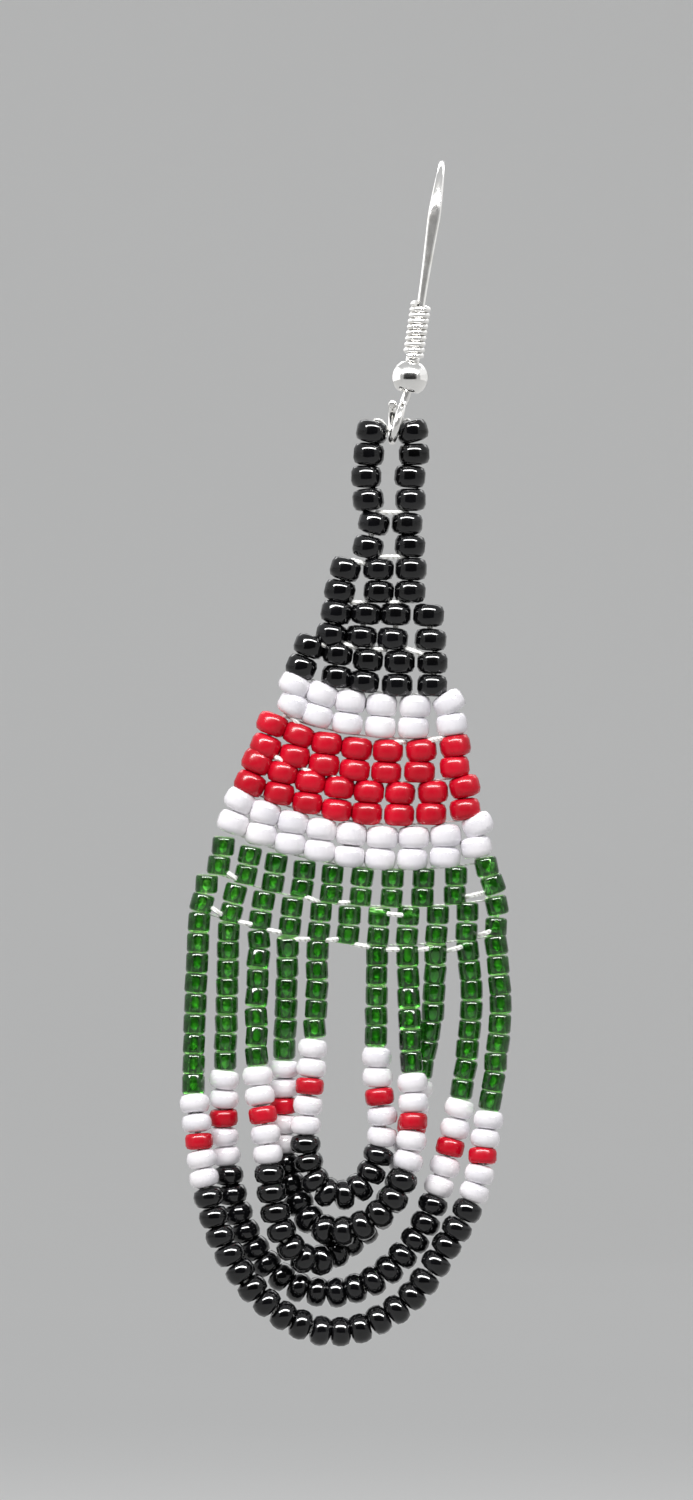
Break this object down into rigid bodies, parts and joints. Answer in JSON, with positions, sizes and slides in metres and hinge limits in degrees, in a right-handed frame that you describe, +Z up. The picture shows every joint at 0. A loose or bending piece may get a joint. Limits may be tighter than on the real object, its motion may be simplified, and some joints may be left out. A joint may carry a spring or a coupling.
{
  "type": "beaded earring",
  "caption": "Drop earring on a fish-hook ear wire: a woven triangular panel of seed beads over nested hanging loops of strung beads, joined by a bead loop in the wire's eye.",
  "frame": {"origin": "the inner top of the ear wire's bend, where the bend sits in the piercing", "axes": "+Z up, +X to the right seen from the front, -Y towards the front, +Y towards the wearer's ear and the rear leg"},
  "size_m": [0.0253, 0.0129, 0.0911],
  "materials": {
    "silver_wire": "bright drawn silver-coloured wire",
    "thread": "white nylon beading thread",
    "black_beads": "opaque glossy glass seed beads",
    "white_beads": "opaque glossy glass seed beads",
    "red_beads": "opaque glossy glass seed beads",
    "green_beads": "transparent green glass seed beads"
  },
  "bodies": {
    "hook": {"ear_wire": "silver_wire", "wire_coil": "silver_wire", "wire_ball": "silver_wire"},
    "drop": {"loop_thread": "thread", "top_loop": "black_beads", "black_rows": "black_beads", "upper_white_row": "white_beads", "red_rows": "red_beads", "lower_white_row": "white_beads", "green_rows": "green_beads", "fringe_loop_1": "black_beads", "fringe_loop_2": "black_beads", "fringe_loop_3": "black_beads", "fringe_loop_4": "black_beads", "fringe_loop_5": "black_beads"}
  },
  "joints": [
    {"name": "drop_swing", "type": "hinge", "parent": "hook", "child": "drop", "pos_m": [-0.0038, -0.00443, -0.0204], "axis": [1, 0, 0], "range_deg": [-60, 60]}
  ]
}
